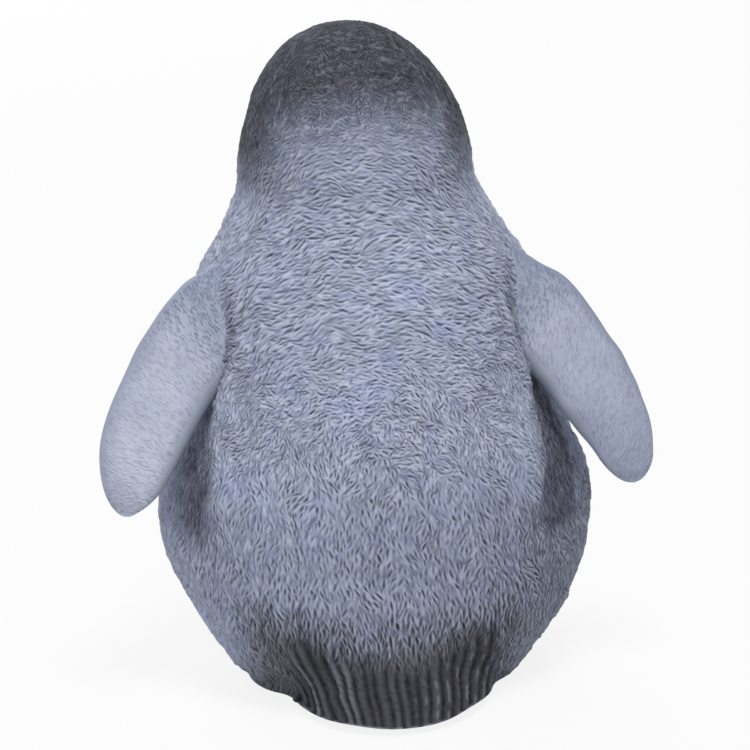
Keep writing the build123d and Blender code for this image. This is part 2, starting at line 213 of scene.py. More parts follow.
def body_profile():
    """Levels, half widths, middles and half depths of the rows, evenly spaced along the back."""
    level = np.linspace(BASE_LEVEL, HEAD_LEVEL, 6000)
    rise = np.sin(np.linspace(0, math.pi / 2, 3000))
    shrink = np.cos(np.linspace(0, math.pi / 2, 3000))
    width = np.concatenate([outline(HALF_WIDTHS, level), HEAD_HALF_WIDTH * shrink[1:]])
    front = outline(FRONTS, level)
    back = outline(BACKS, level)
    middle = np.concatenate([(back - front) / 2, np.full(2999, HEAD_MIDDLE)])
    depth = np.concatenate([(back + front) / 2, HEAD_HALF_DEPTH * shrink[1:]])
    level = np.concatenate([level, HEAD_LEVEL + DOME_HEIGHT * rise[1:]])
    reach = np.hypot(np.diff(level), np.maximum(np.abs(np.diff(width)), np.abs(np.diff(middle + depth))))
    run = np.concatenate([[0], np.cumsum(reach)])
    even = np.linspace(0, run[-1] - 0.4 * FINE, int(run[-1] / FINE))
    return [np.interp(even, run, values) for values in (level, width, middle, depth)]


theta = body_angles()
row_level, row_width, row_middle, row_depth = body_profile()
ROWS, COLS = len(row_level), len(theta)
sin_t = np.sin(theta)[None]
cos_t = np.cos(theta)[None]
behind = cos_t > 0
side_x = row_width[:, None] * sin_t
side_y = row_depth[:, None] * cos_t
radius = np.hypot(side_x, side_y)

# The stub tail joins the rump in a soft curve
TAIL_CENTRE = 20.0
TAIL_HALF_WIDTH = 27.3
TAIL_TOP = 30
TAIL_LEVELS = (BASE_LEVEL, 5.0, 9.2, 18.0, 28.2, 40.0)
TAIL_REACHES = (57.0, 54.2, 52.0, 48.6, 43.0, 30.0)
tail_reach = np.interp(row_level, TAIL_LEVELS, TAIL_REACHES)
tail_depth = (tail_reach - TAIL_CENTRE)[:, None]
way_x = side_x / radius
way_y = side_y / radius
shift = (row_middle - TAIL_CENTRE)[:, None]
quad_a = (way_x / TAIL_HALF_WIDTH) ** 2 + (way_y / tail_depth) ** 2
quad_b = way_y * shift / tail_depth**2
quad_c = (shift / tail_depth) ** 2 - 1
tail_radius = (np.sqrt(np.maximum(quad_b**2 - quad_a * quad_c, 0)) - quad_b) / quad_a
tail_radius = np.where((row_level[:, None] < TAIL_TOP) & behind, tail_radius, 0)
SOFT = 3.0
overlap = np.clip(SOFT - np.abs(radius - tail_radius), 0, None) / SOFT
radius = np.maximum(radius, tail_radius) + overlap**2 * SOFT / 4 * (tail_radius > 0)
level_grid = np.broadcast_to(row_level[:, None], (ROWS, COLS))
body = np.stack([way_x * radius, row_middle[:, None] + way_y * radius, level_grid], axis=-1)
across, up, out = frame_of(body)

# Where things are on the body: turn from the back in degrees, and place across the back from -1 to 1
X, Y, Z = body[..., 0], body[..., 1], body[..., 2]
turn = np.abs(np.degrees(theta))[None] * np.ones((ROWS, 1))
place = X / row_width[:, None]
left = X > 0
front_side = step(96, 118, turn)

# The flippers' paddle, on the same arc as its solid
ROOT_Y = 9.0
ROOT_Z = 101.5
ROOT_SINK = 7.1
ROOT_X = outline_at(HALF_WIDTHS, ROOT_Z) - ROOT_SINK
ROOT_WIDTH = 27.6
ROOT_DEPTH = 20.0
NARROWING = 4.4
THINNING = 9.0
TIP_POWER = 2.8
EDGE_POWER = 2.3
ARC = 57.5
ARC_SLOPE = math.radians(40)
ARC_SWEEP = math.radians(40)
ARC_RADIUS = ARC / ARC_SWEEP
ARC_LEAN = math.tan(math.radians(16))
ROOT_TWIST = 26
UNTWIST = 12
SHANK = 14.0
SHAFT = 21.5
ROUND = 320


def flipper_rows(along, around):
    """Points of the left flipper's paddle, with its centre line, at lengths along its arc."""
    angle = ARC_SLOPE + along / ARC_RADIUS
    drop = ARC_RADIUS * (math.cos(ARC_SLOPE) - np.cos(angle))
    spread = ARC_RADIUS * (np.sin(angle) - math.sin(ARC_SLOPE))
    centre = np.stack([ROOT_X + spread, ROOT_Y + drop * ARC_LEAN, ROOT_Z - drop], axis=-1)
    tangent = np.stack([np.cos(angle), np.sin(angle) * ARC_LEAN, -np.sin(angle)], axis=-1)
    tangent /= np.linalg.norm(tangent, axis=-1, keepdims=True)
    flat = np.cross([0.0, 1.0, 0.0], tangent)
    flat /= np.linalg.norm(flat, axis=-1, keepdims=True)
    twist = np.radians(ROOT_TWIST - UNTWIST * along / ARC)[:, None]
    wide = flat * np.cos(twist) + np.cross(tangent, flat) * np.sin(twist)
    thick = np.cross(tangent, wide)
    blend = step(0, SHAFT, along)
    width = ROOT_WIDTH - NARROWING * blend
    depth = ROOT_DEPTH - THINNING * blend
    past_shaft = np.clip(along - SHAFT, 0, None) / (ARC - SHAFT)
    tip = np.sqrt(np.clip(1 - past_shaft**TIP_POWER, 0, 1))
    shank = step(0, SHANK, -along)
    width = (width - 6.0 * shank) * tip / 2
    depth = (depth - 4.0 * shank) * tip / 2
    c = np.cos(around)[None]
    s = np.sin(around)[None]
    square = (np.abs(c) ** EDGE_POWER + np.abs(s) ** EDGE_POWER) ** (-1 / EDGE_POWER)
    a = (square * c)[..., None] * wide[:, None] * width[:, None, None]
    b = (square * s)[..., None] * thick[:, None] * depth[:, None, None]
    return centre[:, None] + a + b


def seam_away():
    """How far each point of the body's sides is from the flippers' surface."""
    spots = flipper_rows(np.linspace(-8, 34, 70), circle(80)).reshape(-1, 3)
    tree = kdtree.KDTree(len(spots))
    for k, spot in enumerate(spots):
        tree.insert(spot, k)
    tree.balance()
    away = np.full((ROWS, COLS), np.inf)
    for r, c in np.argwhere((np.abs(X) > 22) & (Z > 62) & (Z < 124) & (turn < 100)):
        away[r, c] = tree.find((abs(X[r, c]), Y[r, c], Z[r, c]))[2]
    return away


SHOULDER = (35, 16, 113)
SHOULDER_SPREAD = 9
one_side = np.stack([np.abs(X), Y, Z], axis=-1)
seam = bell(seam_away(), 0, 1.5) * (1 - step(108, 116, Z))
shoulder = bell(np.linalg.norm((one_side - SHOULDER) / SHOULDER_SPREAD, axis=-1), 0, 1)

# Armpits: behind each flipper the side is hollow, with painted shade in the hollow that ends short of the
# outline
edge_turn = np.where(left, 59.5, 55.5) + 0.43 * (Z - 66) + 1.0 * waves(body, 16, 11)
past = turn - edge_turn + 0.5 * waves(body, 9, 13)
armpit_span = step(40, 58, Z) * (1 - step(84, 98, Z))
armpit = armpit_span * step(-6, 7, past) * (1 - step(9, 34, past))
armpit_shade_span = step(40, 51, Z) * (1 - step(88, 102, Z)) * np.where(left, 1 - 0.3 * step(60, 74, Z), 1.0)
armpit_shade = armpit_shade_span * step(-8, 7, past) * (1 - step(10, 25, past + 1.5 * waves(body, 6, 12)))
# The painted shade also runs along the seam where each flipper meets the body, as a painted shadow
armpit_shade = np.maximum(np.clip(np.where(left, 1.0, 1.8) * armpit_shade, 0, 1), 0.5 * seam)

# Tail: a dark fan with ribs, and a ragged margin where grey feathers lie over it
draw = np.random.default_rng(21)
tail_rise = Z - BASE_LEVEL
rib_way = X * (1 - 0.011 * tail_rise) - 0.05 * tail_rise
hair = np.interp(X / 0.5 + 100, np.arange(201), draw.uniform(-1, 1, 201))
tail_top = 20.5 + 5.0 * step(6, 28, np.abs(X)) + 1.2 * waves(body, 9, 22)
tail_off = np.abs(X - 2.0)
tail_side = 1 - step(28.0, 39.0, tail_off + 2.5 * hair + 1.5 * waves(body, 7, 23))
tail_mask = (1 - step(-3.0, 3.5, Z - tail_top + 2.5 * hair)) * tail_side * behind
tail_fringe = (1 - step(2.0, 13.0, Z - tail_top)) * (1 - step(33.0, 44.0, tail_off)) * behind
RIBS = 40
rib_edges = -52 + np.cumsum(draw.uniform(1.9, 3.1, RIBS))
rib_lean = rib_way + 0.22 * waves(body, 14, 24)
rib = np.clip(np.searchsorted(rib_edges, rib_lean) - 1, 0, RIBS - 2)
rib_share = np.clip((rib_lean - rib_edges[rib]) / (rib_edges[rib + 1] - rib_edges[rib]), 0, 1)
rib_ridge = (1 - np.abs(2 * rib_share - 1) ** 1.8) * draw.uniform(0.5, 1.0, RIBS)[rib]
rib_line = bell(rib_share, 0.5, 0.10) * step(-0.5, 0.8, waves(body, 5, 25)) * step(8, -16, X)
rib_top = Z + 2 * hair - 4 * (X / 20) ** 2
rib_zone = (1 - step(12, 20, rib_top)) * (1 - step(25, 29, np.abs(X))) * behind

# Head, face and belly
crown = np.clip(step(139, 168, Z + 6 * place**2 + 0.5 * waves(body, 12, 31)) * 1.05, 0, 1)
crown = np.maximum(crown, step(126, 148, Z) * step(0.49, 0.95, np.abs(place)))
head_part = step(126, 146, Z)
cheek = np.hypot((np.abs(X) - 14) / 15.5, (Z - 141) / 15.0)
face = (1 - step(0.86, 1.04, cheek + 0.03 * waves(body, 3, 33))) * step(100, 112, turn)
chin = (1 - step(0.85, 1.05, np.hypot(X / 20, (Z - 128) / 9))) * step(120, 140, turn)
face = np.maximum(face, chin)
cap = step(129, 137, Z + 0.10 * np.abs(X)) * step(92, 110, turn) * (1 - face)
collar = step(116, 121, Z) * (1 - step(129, 137, Z)) * step(95, 115, turn) * (1 - face)
belly = step(98, 140, turn + 4 * waves(body, 9, 35)) * (1 - step(112, 122, Z)) * step(4, 14, Z)

# The left eye's place on the head and the way it faces
EYE_RADIUS = 3.9
EYE_RISE = 2.2
EYE_STEM = 2.4
EYE_LEVEL = 9.0
EYE_TURN = math.radians(40)
HEAD_CENTRE = np.array([0, HEAD_MIDDLE, HEAD_LEVEL])
HEAD_AXES = np.array([HEAD_HALF_WIDTH, HEAD_HALF_DEPTH, DOME_HEIGHT])
eye_share = math.sqrt(1 - (EYE_LEVEL / DOME_HEIGHT) ** 2)
eye_way = np.array([eye_share * math.sin(EYE_TURN), -eye_share * math.cos(EYE_TURN), EYE_LEVEL / DOME_HEIGHT])
EYE_PLACE = HEAD_CENTRE + HEAD_AXES * eye_way
EYE_OUT = (EYE_PLACE - HEAD_CENTRE) / HEAD_AXES**2
EYE_OUT /= np.linalg.norm(EYE_OUT)

# Feather strokes: short tooled grooves along the plumage's flow, each kept clear of those before it
hairs = np.zeros((ROWS, COLS))
height = np.zeros((ROWS, COLS))
rim = np.zeros((ROWS, COLS))
groove = np.zeros((ROWS, COLS))
taken = np.zeros((ROWS, COLS), bool)
gap_up, gap_across = gaps(body)

# Fields that steer the strokes: the low back, sways of the flow, calmer patches and ragged zone borders
low_back = step(74, 56, Z)
tilt = waves(body, 13, 41)
patch = np.clip(0.5 + 0.7 * waves(body, 10, 42), 0, 1)
border = waves(body, 12, 43)
HAIRS = 60000
STROKE_TRIES = 90000


def lens(r, c, angle, length, width, margin):
    """A lens-shaped stroke at a grid point: its window, cut from 0 to 1, and places along and beside it."""
    reach = length / 2 + margin
    n_r = int(reach / gap_up[r, c]) + 1
    top = min(r + n_r, ROWS - 1)
    n_c = min(int(reach / max(gap_across[top, c], 0.02)) + 1, COLS // 2 - 1)
    window = np.ix_(np.arange(max(r - n_r, 0), top + 1), np.arange(c - n_c, c + n_c + 1) % COLS)
    away = body[window] - body[r, c]
    level_way = -across[r, c]
    along = away @ (math.cos(angle) * level_way + math.sin(angle) * up[r, c]) / (length / 2)
    aside = away @ (math.cos(angle) * up[r, c] - math.sin(angle) * level_way)
    bend = (0.3 - 0.2 * step(78, 60, Z[r, c])) * draw.normal()
    aside = (aside - bend * along**2) / (width * (0.4 + 0.6 * np.clip(1 - along**2, 0, 1)))
    cut = np.clip(1 - aside**2, 0, 1) * np.clip(1 - along**2, 0, 1) ** 0.7
    return window, cut, along, aside


def engrave(r, c, angle, length, width, depth, clear, ink):
    """Presses one groove with raised lips into the height field, and keeps the ground near it free."""
    window, cut, along, aside = lens(r, c, angle, length, width, 0.3 + width + clear)
    lip = np.clip(1 - along**2, 0, 1) * bell(np.abs(aside), 1.6, 0.6) * np.where(aside < 0, 1.0, 0.7)
    height[window] = np.minimum(height[window], -depth * cut)
    rim[window] = np.maximum(rim[window], depth * lip)
    groove[window] = np.maximum(groove[window], ink * cut)
    taken[window] |= (along * length / (length + 0.5)) ** 2 + (aside * width / (width + clear)) ** 2 < 1


def middle_back(z):
    """How far a level belongs to the middle of the back, from 0 to 1."""
    return float(step(52, 66, z) * (1 - step(84, 102, z)))


def flow_at(r, c):
    """The plumage's direction at a grid point, in degrees from level, with some spread."""
    z = Z[r, c]
    s = -place[r, c]
    spread = draw.normal()
    if face[r, c] > 0.4:
        return 90 + 35 * spread
    if turn[r, c] > 108 or armpit[r, c] > 0.25 or armpit_shade[r, c] > 0.6 or tail_fringe[r, c] > 0.4:
        return 90 + 11 * spread
    sign = -1.0 if s + 0.12 * draw.normal() > 0 else 1.0
    side = step(0.45, 0.85, abs(s))
    if z > 152 + 3 * draw.normal():
        return sign * 90 * side + (44 - 24 * side) * spread
    low = step(92, 60, z + 6 * border[r, c] + 3 * draw.normal())
    level_lean = 52 * abs(s) + 30 * step(0.75, 0.98, abs(s))
    lean = level_lean * (1 - low) + (90 - 10 * abs(s)) * low
    sway = 10 + 12 * step(100, 84, z) - 9 * step(68, 54, z)
    return sign * lean + sway * tilt[r, c] + (13 + 6 * middle_back(z)) * spread


def stroke_at(r, c):
    """Length, half width, depth and clearance of a stroke at a grid point."""
    z = Z[r, c]
    if face[r, c] > 0.4:
        return draw.uniform(1.6, 2.4), 0.34, 0.14, 0.4
    if turn[r, c] > 108:
        return draw.uniform(2.6, 4.0), 0.48, 0.32, 0.3
    if armpit[r, c] > 0.25 or armpit_shade[r, c] > 0.6:
        return draw.uniform(2.4, 4.6), 0.34, 0.36, 0.3
    if tail_fringe[r, c] > 0.3:
        return draw.uniform(2.4, 4.6), draw.uniform(0.3, 0.5), 0.45, draw.uniform(0.06, 0.3)
    head = float(step(140, 154, z))
    low = low_back[r, c]
    nape = float(step(88, 108, z)) * (1 - head)
    length = draw.uniform(1.5, 3.2) + nape * draw.uniform(0.0, 2.6) - 0.4 * head - 0.3 * middle_back(z)
    length += 0.3 * low
    width = 0.28 + 0.07 * nape + 0.08 * low - 0.05 * head
    depth = (draw.uniform(0.24, 0.56) - 0.12 * head) * (1.12 - 0.45 * patch[r, c])
    clear = draw.uniform(0.14, 0.42) + (0.1 + 0.5 * patch[r, c]) * low
    return length, width * draw.uniform(0.75, 1.3), depth, clear


def places(count):
    """Grid points drawn evenly over the surface."""
    share = np.cumsum((gap_up * gap_across).ravel())
    for pick in np.searchsorted(share, draw.uniform(0, share[-1], count)):
        yield divmod(int(pick), COLS)


def cover(tries):
    """Draws places evenly over the surface and engraves a stroke where the ground is still free."""
    for r, c in places(tries):
        if taken[r, c] or rib_zone[r, c] > 0.6:
            continue
        angle = math.radians(flow_at(r, c))
        length, width, depth, clear = stroke_at(r, c)
        run_r = int(0.4 * length * math.sin(angle) / gap_up[r, c])
        run_c = int(-0.4 * length * math.cos(angle) / max(gap_across[r, c], 0.05))
        above = taken[min(max(r + run_r, 0), ROWS - 1), (c + run_c) % COLS]
        below = taken[min(max(r - run_r, 0), ROWS - 1), (c - run_c) % COLS]
        if not (above or below):
            ink = draw.uniform(0.35, 1.0) * (1 - 0.4 * step(124, 146, Z[r, c]))
            engrave(r, c, angle, length, width, depth, clear, ink)


def brush(count):
    """Fine hair lines along the flow, raised and sunk, all over the back."""
    for r, c in places(count):
        if turn[r, c] < 112 and rib_zone[r, c] < 0.5:
            angle = math.radians(flow_at(r, c))
            wide = draw.uniform(0.26, 0.48) * (1 + 0.5 * low_back[r, c])
            window, cut, _, _ = lens(r, c, angle, draw.uniform(2.0, 4.8), wide, 0.3)
            hairs[window] += draw.choice([-1.0, 1.0]) * draw.uniform(0.07, 0.22) * cut


brush(HAIRS)
cover(STROKE_TRIES)
hairs *= (1 - 0.4 * low_back) * (1 - 0.25 * head_part) * (1 - 0.2 * shoulder)
fringe = np.clip(0.5 + 1.7 * groove, 0, 1) * tail_fringe**1.5
tail_mask = np.maximum(tail_mask, 0.55 * fringe)

# The body's relief: low waves, hairs, strokes with their lips, shoulders, seam and the tail's ribs
lumps = 0.10 * waves(body, 17, 41) + 0.08 * waves(body, 7, 42) + 0.07 * waves(body, 3.4, 43)
lumps = lumps * (1 - 0.6 * step(120, 140, Z)) * step(BASE_LEVEL, 8, Z) * (1 - 0.7 * face)
relief = lumps + hairs * (1 - 0.35 * head_part) + height + 0.25 * rim * (1 - rib_zone)
relief += 1.2 * shoulder
relief -= 0.5 * seam
relief += (0.6 * (rib_ridge - 0.6) + 0.07 * waves(body, 1.7, 44) + 0.05 * waves(body, 0.9, 45)) * rib_zone

# Hollows behind the flippers with their raised edge, and the unevenness of head, flanks and hip
relief -= 2.2 * armpit
relief -= 0.9 * bell(Z, 154, 10) * step(0.5, 0.95, place)
flank = bell(Z, 22, 9) * step(0.6, 0.9, np.abs(place)) * (turn < 120)
relief += np.where(left, -0.9, 0.7) * flank
relief -= 2.0 * bell(X, 29, 8) * (1 - step(3, 20, Z)) * behind
relief += 0.3 * armpit_span * step(-20, -7, past) * (1 - step(-7, 4, past))

# A lid round each eye, and a pit that the eye sits in
eye_away = np.linalg.norm(one_side - EYE_PLACE, axis=-1)
relief = relief * step(3.6, 6.5, eye_away) + 0.8 * bell(eye_away, 4.7, 0.8)
relief -= 1.2 * (1 - step(3.0, 4.0, eye_away))
relief *= step(BASE_LEVEL - 0.4, BASE_LEVEL + 1.2, Z)

# The lower rim lifts a little beside and under the tail, and the head stands slightly to the left
HEAD_SHIFT = 1.2
dressed = body + out * relief[..., None]
lift_at = bell(np.abs(X), np.where(left, 26, 20), 6.5) * (1 - step(2, 16, Z)) * behind
dressed[..., 2] += np.where(left, 0.8, 1.2) * lift_at
dressed[..., 2] += 0.8 * (1 - step(2, 14, Z)) * (1 - step(14, 34, np.abs(X))) * step(0.2, 0.8, cos_t)
dressed[..., 2] += 0.5 * bell(X, 13, 7) * (1 - step(2, 12, Z)) * behind
dressed[..., 0] += HEAD_SHIFT * step(138, 172, Z)

# The underside: the rim that stands on the pads, the rebate around the plate and its ledge
PLATE_INSET = 12.0
LEDGE_INSET = 14.5
REBATE_TOP = 5.35
FLOOR_TOP = 8.2
base_middle = (BACKS[0] - FRONTS[0]) / 2
base_depth = (BACKS[0] + FRONTS[0]) / 2
rings = []
for inset, ring_level in (
    (LEDGE_INSET, FLOOR_TOP),
    (LEDGE_INSET, REBATE_TOP),
    (PLATE_INSET, REBATE_TOP),
    (PLATE_INSET, BASE_LEVEL),
):
    ring_x = (HALF_WIDTHS[0] - inset) * sin_t[0]
    ring_y = base_middle + (base_depth - inset) * cos_t[0]
    rings.append(np.stack([ring_x, ring_y, np.full(COLS, ring_level)], axis=-1))
floor_point = (0, base_middle, FLOOR_TOP)
crown_point = (HEAD_SHIFT, HEAD_MIDDLE, HEAD_LEVEL + DOME_HEIGHT)
plumage = mesh_object("plumage_body", np.concatenate([rings, dressed]), caps=(floor_point, crown_point))


def with_underside(mask):
    """A mask of the body, with nothing on the underside's rings in front of it."""
    return np.concatenate([np.zeros((len(rings), COLS)), mask])


# Masks for the paint: dark in the grooves, pale on hairs, lips and ribs (dry-brushed paint with a painted
# highlight on the lips), painted shade low down and on the lower right
deep = np.maximum(groove, 0.6 * np.clip(-hairs / 0.3, 0, 1)) * (1 - rib_zone) + (1 - rib_ridge) * rib_zone
# Pale on raised hairs, lips and ribs: dry-brushed paint on the ridges, and a painted highlight where the lips
# catch light from above
pale = np.clip(np.maximum(hairs / 0.25, rim / 0.3), 0, 1) * (1 - groove) * (1 - rib_zone)
pale *= (1 - 0.35 * low_back) * (1 - 0.62 * np.maximum(crown, cap))
pale *= (1 - 0.5 * np.maximum(tail_mask, armpit_shade)) * (1 - 0.15 * step(122, 136, Z))
rib_light = 0.3 * rib_line + 0.45 * rib_ridge**3 * step(6, 17, X)
worn_edge = (0.5 - 0.5 * step(1.3, 1.7, Z)) * step(-0.6, 0.6, waves(body, 4, 26))
pale += rib_zone * np.maximum(rib_light, worn_edge)
# Painted shade: darker low down and on the lower right, where less light falls; the tail's dark fringe
# strands are added to it
low_shade_and_fringe = 0.36 * step(72, 40, Z) * (1 - 0.9 * step(6, 34, X)) + 0.38 * step(-16, -44, X) * step(66, 46, Z)
low_shade_and_fringe = np.maximum(low_shade_and_fringe, 0.8 * fringe)
paint(plumage, "zones", [with_underside(m) for m in (deep, np.maximum(crown, cap), tail_mask, armpit_shade)])
paint(plumage, "front", [with_underside(m) for m in (face, belly, pale, collar)])
paint(plumage, "tone", [with_underside(low_shade_and_fringe * (1 - front_side))])
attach(plumage, "root")
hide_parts("body_shell")


# Flippers: the paddle with short tooled dashes across the blade
DASH_TRIES = 11000


def dashes(rows, ways, reach, bare, lean, source):
    """Short dashes on a flipper, clear of its bare columns, and the lips beside them, as two fields."""
    dash = np.zeros(rows.shape[:2])
    lips = np.zeros(rows.shape[:2])
    count = len(reach)
    step_r, step_c = gaps(rows)
    for _ in range(DASH_TRIES):
        r = int(source.integers(20, count - 12))
        c = int(source.integers(0, ROUND))
        if bare[c] or dash[r, c] > 0.05 or step_c[r, c] < 0.07:
            continue
        near = float(1 - step(4, 15, reach[r]))
        angle = math.radians(lean + 10 * source.normal())
        length = source.uniform(1.1, 2.6)
        wide = 0.20 + 0.08 * near
        n_r = int((length / 2) / max(step_r[r, c], 0.06)) + 2
        n_c = min(int((length / 2) / step_c[r, c]) + 2, 90)
        rows_here = np.arange(max(r - n_r, 0), min(r + n_r, count - 1) + 1)
        window = np.ix_(rows_here, np.arange(c - n_c, c + n_c + 1) % ROUND)
        away = rows[window] - rows[r, c]
        line = math.cos(angle) * ways[1][r, c] + math.sin(angle) * ways[0][r, c]
        cross_line = -math.sin(angle) * ways[1][r, c] + math.cos(angle) * ways[0][r, c]
        taper = np.clip(1 - (away @ line / (length / 2)) ** 2, 0, 1)
        aside = away @ cross_line / wide
        core = np.clip(1 - aside**2, 0, 1) * taper
        lip = bell(np.abs(aside), 1.7, 0.6) * taper
        strength = source.uniform(0.3, 1.1) * (1 + 0.8 * near)
        dash[window] = np.maximum(dash[window], core * strength)
        lips[window] = np.maximum(lips[window], lip * strength)
    return dash, lips


def flipper(side, name, seed, swells):
    """One flipper, for the left side or mirrored to the right, with swells of its outer edge."""
    is_left = side > 0
    tip_cut = 1.5 if is_left else 0.6
    inner_cut = 0.3 if is_left else 1.3
    dash_lean = 78 if is_left else 38
    edge_shade_amount = 0.6 if is_left else 1.0
    tip_shade_amount = 0.0 if is_left else 1.0
    ends = np.linspace(0, math.pi / 2, 300)
    reach = np.concatenate([np.linspace(-SHANK, SHAFT, 240)[:-1], SHAFT + (ARC - SHAFT) * np.sin(ends)[:-1]])
    around = -circle(ROUND)
    inner = np.cos(around)
    outer = -inner
    rows = flipper_rows(reach, around)
    ways = frame_of(rows)
    relief = 0.10 * waves(rows, 9, seed + 1)
    for high, spot, spread in swells:
        relief += step(0.0, 0.9, outer)[None] * (high * bell(reach, spot, spread))[:, None]
    relief -= tip_cut * step(46, 57, reach)[:, None]
    slim = step(30, 44, reach) * (1 - step(46, 56, reach))
    relief -= inner_cut * (step(0.0, 0.9, inner)[None] * slim[:, None])
    relief -= 1.6 * step(0.2, 0.9, ways[2][..., 1]) * (1 - step(0, 16, reach))[:, None]
    trailing = step(0.62, 0.92, inner)
    bare = (trailing > 0.5) | (outer > 0.8)
    dash, lips = dashes(rows, ways, reach, bare, dash_lean, np.random.default_rng(seed))
    relief += 0.07 * lips * (1 - np.clip(dash, 0, 1)) - 0.22 * dash
    shaped = rows + ways[2] * relief[..., None]
    whole = np.ones(rows.shape[:2])
    along_share = np.clip(reach / ARC, 0, 1)[:, None] * whole
    # Painted shade: a darker band along the outer edge, and the right flipper darker towards its tip
    tip_shade = tip_shade_amount * (0.2 + 0.45 * step(0.3, 0.9, along_share))
    shade = np.maximum(edge_shade_amount * step(0.45, 1.0, outer), tip_shade)
    masks = [dash / 2, along_share, trailing * whole, shade]
    ends_at = np.stack([shaped[0].mean(0), shaped[-1].mean(0)])
    if not is_left:
        shaped = shaped[:, ::-1] * MIRROR
        masks = [mask[:, ::-1] for mask in masks]
        ends_at = ends_at * MIRROR
    piece = mesh_object(name, shaped, caps=ends_at)
    paint(piece, "zones", masks)
    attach(piece, "root")
    return piece


left_flipper = flipper(1, "flipper_left", 51, ((-0.4, -2, 5), (0.9, 16.5, 5), (-0.5, 48, 5)))
right_flipper = flipper(-1, "flipper_right", 61, ((-2.0, -2, 5), (-1.0, 37, 9), (-0.4, 48, 5)))
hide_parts("left_flipper")
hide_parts("right_flipper")


# Eyes: glossy cabochons, each inside a raised lid
def eye(side, name):
    """One eye, a domed cap with a stem in the head."""
    arc = (EYE_RADIUS**2 + EYE_RISE**2) / (2 * EYE_RISE)
    swing = np.linspace(math.asin(EYE_RADIUS / arc), 0.03, 26)
    rings_out = np.concatenate([[EYE_RADIUS, EYE_RADIUS], arc * np.sin(swing)])
    rings_up = np.concatenate([[-EYE_STEM, -0.1], EYE_RISE - arc + arc * np.cos(swing)])
    around = circle(72)
    first = np.cross([0.0, 0.0, 1.0], EYE_OUT)
    first /= np.linalg.norm(first)
    second = np.cross(EYE_OUT, first)
    ring = np.cos(around)[:, None] * first + np.sin(around)[:, None] * second
    rows = EYE_PLACE + rings_out[:, None, None] * ring[None] + rings_up[:, None, None] * EYE_OUT
    iris = np.broadcast_to(rings_out[:, None], rows.shape[:2]) / EYE_RADIUS
    ends = np.stack([EYE_PLACE - EYE_STEM * EYE_OUT, EYE_PLACE + EYE_RISE * EYE_OUT])
    rows = rows[:, ::-1]
    if side < 0:
        rows = rows[:, ::-1] * MIRROR
        ends = ends * MIRROR
    piece = mesh_object(name, rows, caps=ends)
    paint(piece, "zones", [iris])
    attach(piece, "root")
    return piece


left_eye = eye(1, "eye_left")
right_eye = eye(-1, "eye_right")
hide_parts("left_eye")
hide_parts("right_eye")


# Beak: two mandibles that meet in a line, with nostrils and a tip that bends down
BEAK_Y = -41.98
BEAK_LEVEL = 137.0
BEAK_LENGTH = 14.5
BEAK_DROP = 3.4
BEAK_SINK = 3.0
BEAK_HALF_WIDTH = 6.4
BEAK_HALF_HEIGHT = 6.0
BEAK_ROUND = 160


def beak():
    """The beak, from inside the face to its tip."""
    shown = (BEAK_LENGTH - 0.1) * np.sin(np.linspace(0, math.pi / 2, 120))
    reach = np.concatenate([[-BEAK_SINK, -2.0, -1.0], shown])
    around = -circle(BEAK_ROUND)
    share = np.clip(reach, 0, None) / BEAK_LENGTH
    taper = (1 - share) ** 0.7
    drop = BEAK_DROP * share**2
    c = np.cos(around)[None]
    v = np.sin(around)[None]
    wide = BEAK_HALF_WIDTH * taper[:, None] * (1 - 0.10 * np.clip(-v, 0, 1))
    tall = BEAK_HALF_HEIGHT * taper[:, None] * np.where(v > 0, 1.0, 0.94)
    rows_y = np.broadcast_to(BEAK_Y - reach[:, None], (len(reach), BEAK_ROUND))
    rows = np.stack([wide * c, rows_y, BEAK_LEVEL - drop[:, None] + tall * v], axis=-1)
    ways = frame_of(rows)
    mouth = bell(v, -0.22, 0.07) * step(0.0, 2.0, reach)[:, None] * (1 - 0.5 * share[:, None])
    side_run = np.hypot(reach[:, None] - 4.4, BEAK_HALF_HEIGHT * taper[:, None] * (v - 0.62))
    nostril = bell(side_run, 0, 0.75)
    ridge = bell(v, 1, 0.05)
    relief = -0.42 * mouth - 0.55 * nostril + 0.18 * ridge + 0.05 * waves(rows, 2.2, 71)
    shaped = rows + ways[2] * relief[..., None]
    tip = (0, BEAK_Y - BEAK_LENGTH, BEAK_LEVEL - BEAK_DROP)
    inside = (0, BEAK_Y + BEAK_SINK, BEAK_LEVEL)
    piece = mesh_object("beak_shaped", shaped, caps=(inside, tip))
    paint(piece, "zones", [np.maximum(mouth, nostril)])
    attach(piece, "root")
    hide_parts("beak")
    return piece


shaped_beak = beak()


# Feet: three scaled toes on an instep, with curved claws
FOOT_X = 21.0
PEG_LEVEL = 4.7
TOE_REACH = 57.0
TOE_TURN = 10
TOE_SPREAD = 25
CLAW_LENGTH = 7.6
SIDE_TOE_CUT = 3.0
SOLE_LEVEL = 1.25
TOE_SWELL = 5.3
SCALE_LENGTH = 2.1
INSTEP_RADIUS = 12.0
INSTEP_HEIGHT = 11.6
INSTEP_LEVEL = 5.4
WEB_RADIUS = 9.5
WEB_AHEAD = 8.0
WEB_LEVEL = 2.6
peg_width, peg_front, peg_back = (outline_at(values, PEG_LEVEL) for values in (HALF_WIDTHS, FRONTS, BACKS))
peg_share = math.sqrt(1 - (FOOT_X / peg_width) ** 2)
FOOT_Y = (peg_back - peg_front) / 2 - (peg_back + peg_front) / 2 * peg_share
FOOT_START = np.array([FOOT_X, FOOT_Y, 0.0])
TOE_LENGTH = (TOE_REACH + FOOT_Y) / math.cos(math.radians(TOE_TURN)) - CLAW_LENGTH


